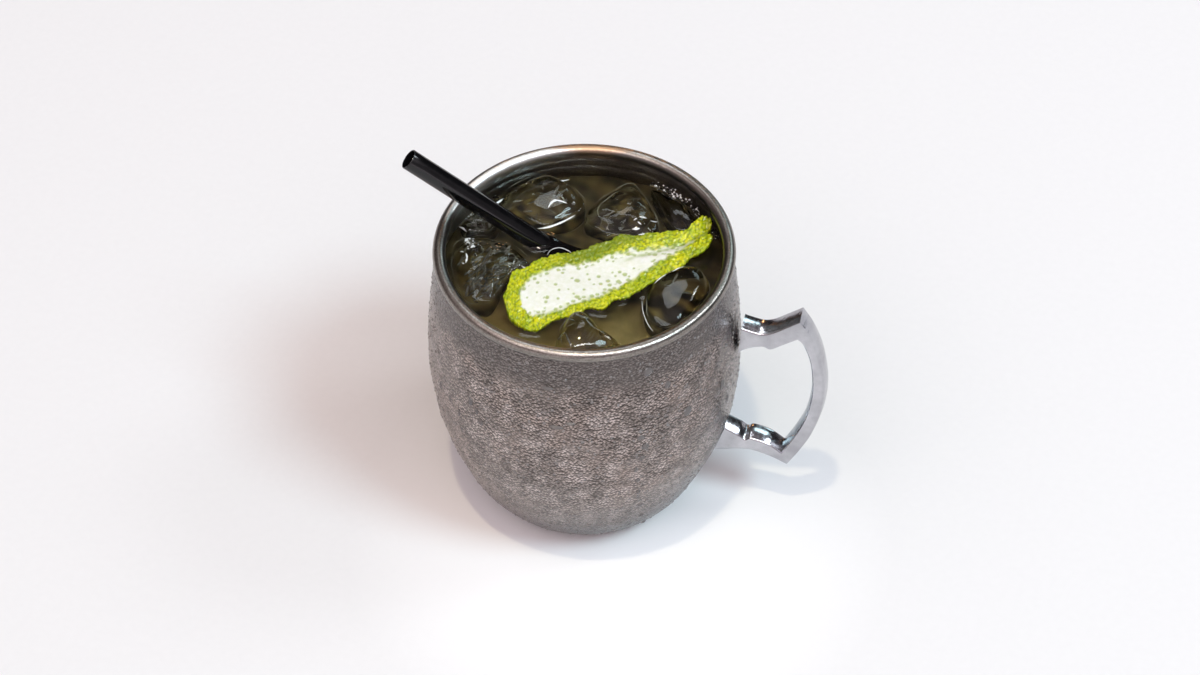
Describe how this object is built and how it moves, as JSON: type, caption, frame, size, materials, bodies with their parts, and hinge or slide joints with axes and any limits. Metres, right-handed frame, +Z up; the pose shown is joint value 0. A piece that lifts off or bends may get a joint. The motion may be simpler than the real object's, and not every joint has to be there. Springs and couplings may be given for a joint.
{
  "type": "moscow mule",
  "caption": "Iced ginger drink in a barrel-shaped hammered steel mug with a cast handle, a slanting black straw and a strip of lime peel.",
  "frame": {"origin": "centre of the mug's flat foot, where its axis meets the surface that it stands on", "axes": "+Z up along the mug's axis, +X from the mug's axis to its handle, +Y to the far side as the handle points right"},
  "size_m": [0.1277, 0.0934, 0.1214],
  "materials": {
    "hammered_steel": "dull hammered steel, beaded with condensation; smoother inside and on the rolled lip",
    "polished_steel": "polished cast steel with soft casting waves",
    "drink": "cloudy olive-grey ginger drink, wet and smooth",
    "black_plastic": "thin glossy black straw",
    "lime_peel": "white pith with a pimpled yellow-green rind edge",
    "ice": "clear melting ice with inner cracks"
  },
  "bodies": {
    "root": {"cup": "hammered_steel", "handle": "polished_steel", "drink": "drink", "straw": "black_plastic", "lime_peel": "lime_peel", "ice_1": "ice", "ice_2": "ice", "ice_3": "ice", "ice_4": "ice", "ice_5": "ice", "ice_6": "ice", "ice_7": "ice"}
  },
  "joints": []
}
